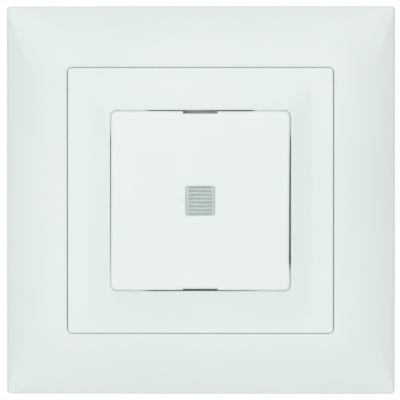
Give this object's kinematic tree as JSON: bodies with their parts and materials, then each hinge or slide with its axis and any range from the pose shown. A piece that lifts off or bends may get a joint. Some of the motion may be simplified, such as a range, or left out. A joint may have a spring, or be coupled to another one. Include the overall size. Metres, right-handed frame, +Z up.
{
  "type": "illuminated push button switch",
  "caption": "Flush wall push button with a ribbed pilot lens, a domed square cover frame, a raised centre plate and a claw-fixed insert with push-in terminals.",
  "frame": {"origin": "centre of the two box screws, on the wall's surface", "axes": "-Y out of the wall towards the user, +Y into the wall box, +Z up"},
  "size_m": [0.0804, 0.0364, 0.0804],
  "materials": {
    "white_plastic": "white moulded plastic, satin, with a faint cool tint",
    "button_plastic": "white moulded plastic, satin, a shade paler than the plate",
    "frame_plastic": "white moulded plastic with a faint cool tint, a little duller than the plate and button",
    "lens_plastic": "grey translucent plastic with fine horizontal ribs",
    "insert_plastic": "light grey insulating plastic",
    "slider_plastic": "off-white low friction plastic",
    "key_plastic": "dark grey plastic",
    "zinc_steel": "zinc plated sheet steel",
    "screw_steel": "zinc plated steel",
    "spring_steel": "bright spring steel",
    "brass": "plain brass",
    "contact_silver": "silver contact rivet",
    "glass": "clear lamp glass",
    "electrode": "dull wire",
    "resistor_body": "coated ceramic"
  },
  "bodies": {
    "switch_body": {"cover_frame": "frame_plastic", "centre_plate": "white_plastic", "support_ring": "zinc_steel", "ring_rivets": "screw_steel", "housing_cover": "insert_plastic", "housing_base": "insert_plastic", "base_screws": "screw_steel", "lamp_holder": "slider_plastic", "lamp_bulb": "glass", "lamp_electrodes": "electrode", "lamp_resistor": "resistor_body", "lamp_pins": "brass", "fixed_contact": "contact_silver", "lever_pivot_pin": "screw_steel", "contact_spring": "spring_steel", "live_rail": "brass", "switched_rail": "brass", "neutral_rail": "brass", "clamp_spring_live_left": "spring_steel", "clamp_spring_live_right": "spring_steel", "clamp_spring_switched": "spring_steel", "clamp_spring_neutral": "spring_steel", "return_spring_left": "spring_steel", "claw_pin_left": "screw_steel", "return_spring_right": "spring_steel", "claw_pin_right": "screw_steel"},
    "button": {"push_button": "button_plastic", "button_lens": "lens_plastic", "actuator": "slider_plastic"},
    "contact_arm": {"contact_lever": "brass", "moving_contact": "contact_silver"},
    "top_key": {"release_key_top": "key_plastic"},
    "bottom_key": {"release_key_bottom": "key_plastic"},
    "claw_screw_left_body": {"claw_screw_left": "screw_steel"},
    "claw_left_body": {"claw_left": "zinc_steel"},
    "claw_nut_left_body": {"claw_nut_left": "screw_steel"},
    "claw_screw_right_body": {"claw_screw_right": "screw_steel"},
    "claw_right_body": {"claw_right": "zinc_steel"},
    "claw_nut_right_body": {"claw_nut_right": "screw_steel"}
  },
  "joints": [
    {"name": "button_press", "type": "slide", "parent": "switch_body", "child": "button", "axis": [0, 1, 0], "range_m": [0, 0.0025], "stiffness_N_per_m": 800, "springref_m": -0.003, "deforming": ["return_spring_left", "return_spring_right"]},
    {"name": "contact_swing", "type": "hinge", "parent": "switch_body", "child": "contact_arm", "pos_m": [0, 0.012, 0.01], "axis": [1, 0, 0], "range_deg": [0, 7.6], "deforming": ["contact_spring"]},
    {"name": "release_key_top_press", "type": "slide", "parent": "switch_body", "child": "top_key", "axis": [0, -1, 0], "range_m": [0, 0.0015], "stiffness_N_per_m": 1500, "springref_m": -0.001},
    {"name": "release_key_bottom_press", "type": "slide", "parent": "switch_body", "child": "bottom_key", "axis": [0, -1, 0], "range_m": [0, 0.0015], "stiffness_N_per_m": 1500, "springref_m": -0.001},
    {"name": "claw_screw_left_turn", "type": "hinge", "parent": "switch_body", "child": "claw_screw_left_body", "pos_m": [-0.0245, 0, 0], "axis": [0, 1, 0], "range_deg": [0, 720]},
    {"name": "claw_left_swing", "type": "hinge", "parent": "switch_body", "child": "claw_left_body", "pos_m": [-0.02, 0.0025, 0], "axis": [0, 0, 1], "range_deg": [0, 16]},
    {"name": "claw_nut_left_travel", "type": "slide", "parent": "switch_body", "child": "claw_nut_left_body", "axis": [0, -1, 0], "range_m": [0, 0.001]},
    {"name": "claw_screw_right_turn", "type": "hinge", "parent": "switch_body", "child": "claw_screw_right_body", "pos_m": [0.0245, 0, 0], "axis": [0, 1, 0], "range_deg": [0, 720]},
    {"name": "claw_right_swing", "type": "hinge", "parent": "switch_body", "child": "claw_right_body", "pos_m": [0.02, 0.0025, 0], "axis": [0, 0, -1], "range_deg": [0, 16]},
    {"name": "claw_nut_right_travel", "type": "slide", "parent": "switch_body", "child": "claw_nut_right_body", "axis": [0, -1, 0], "range_m": [0, 0.001]}
  ],
  "couplings": [
    {"joint": "contact_swing", "follows": "button_press", "rad_per_m": 53},
    {"joint": "claw_left_swing", "follows": "claw_nut_left_travel", "rad_per_m": 279.25},
    {"joint": "claw_screw_left_turn", "follows": "claw_nut_left_travel", "rad_per_m": 12566},
    {"joint": "claw_right_swing", "follows": "claw_nut_right_travel", "rad_per_m": 279.25},
    {"joint": "claw_screw_right_turn", "follows": "claw_nut_right_travel", "rad_per_m": 12566}
  ]
}
